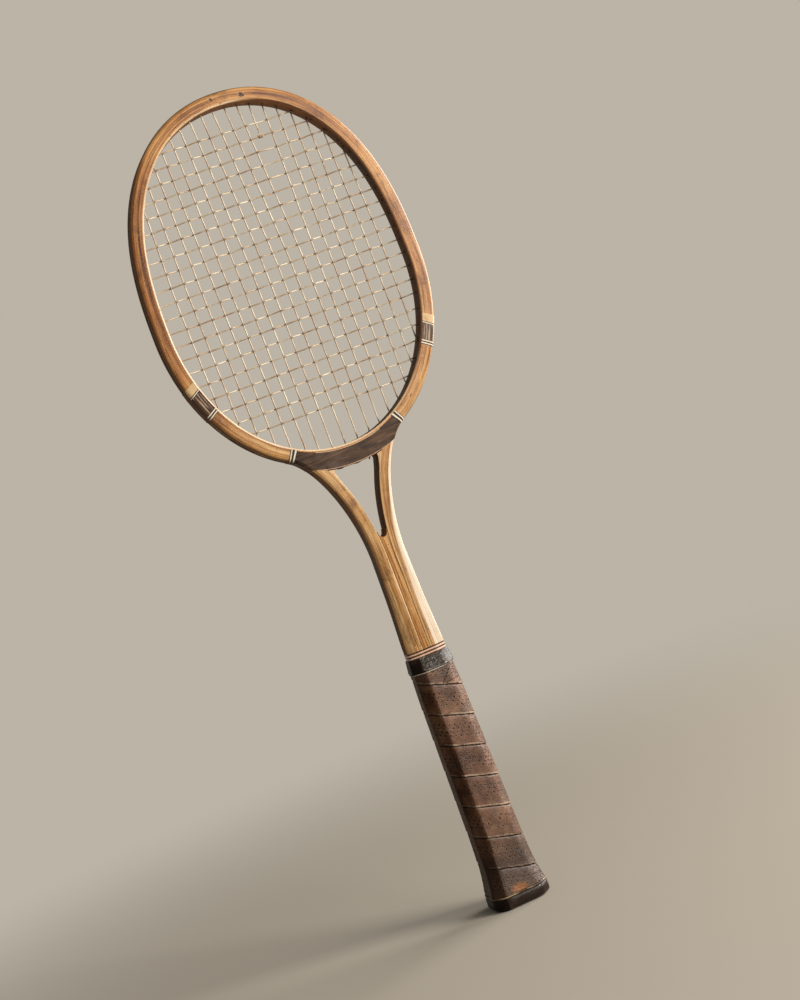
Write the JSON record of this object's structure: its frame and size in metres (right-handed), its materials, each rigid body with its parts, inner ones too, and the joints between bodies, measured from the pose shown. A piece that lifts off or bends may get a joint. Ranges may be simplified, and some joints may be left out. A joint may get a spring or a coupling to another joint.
{
  "type": "wooden tennis racket",
  "caption": "Laminated wooden tennis racket with an open throat, an oval head strung with natural gut, and a leather-wrapped octagonal handle.",
  "frame": {"origin": "on the handle's axis, 75 mm above the butt end, where a hand holds the racket", "axes": "+Z along the racket from the butt to the crown, +X across the strung face, the front face looks to -Y"},
  "size_m": [0.2272, 0.0418, 0.686],
  "materials": {
    "outer_ply": "gloss amber varnish over bent ash",
    "core_ply": "gloss amber varnish over beech",
    "inner_ply": "varnished ply, darkened on the inner wall",
    "pale_wood": "varnished pale wood",
    "overlay": "dark stained veneer, scuffed",
    "tan": "painted tan band under varnish",
    "ivory": "painted ivory line",
    "dark_trim": "painted dark line",
    "salmon_trim": "painted salmon line",
    "gold": "worn gilt line",
    "leather": "dark brown perforated leather, worn",
    "black_rubber": "glossy black",
    "gut": "natural gut, slightly glossy"
  },
  "bodies": {
    "root": {"bow_outer_ply": "outer_ply", "bow_core_ply": "core_ply", "bow_inner_ply": "inner_ply", "yoke": "core_ply", "yoke_overlay_front": "overlay", "yoke_overlay_back": "overlay", "throat_liner_left": "pale_wood", "throat_liner_right": "pale_wood", "centre_wedge": "pale_wood", "shoulder_sleeve_left": "overlay", "shoulder_sleeve_right": "overlay", "tan_wrap_left": "tan", "tan_wrap_right": "tan", "shoulder_line_upper_left": "ivory", "shoulder_line_upper_right": "ivory", "shoulder_line_lower_left": "ivory", "shoulder_line_lower_right": "ivory", "throat_line_inner_left": "ivory", "throat_line_inner_right": "ivory", "throat_line_outer_left": "ivory", "throat_line_outer_right": "ivory", "handle_pallet_front": "core_ply", "handle_pallet_back": "core_ply", "leather_grip": "leather", "collar": "black_rubber", "collar_line": "tan", "shaft_trim_1": "salmon_trim", "shaft_trim_2": "dark_trim", "shaft_trim_3": "salmon_trim", "shaft_trim_4": "dark_trim", "butt_gold_line": "gold", "butt_cap": "black_rubber", "main_string_left": "gut", "main_string_right": "gut", "cross_string": "gut", "short_main_string": "gut"}
  },
  "joints": []
}
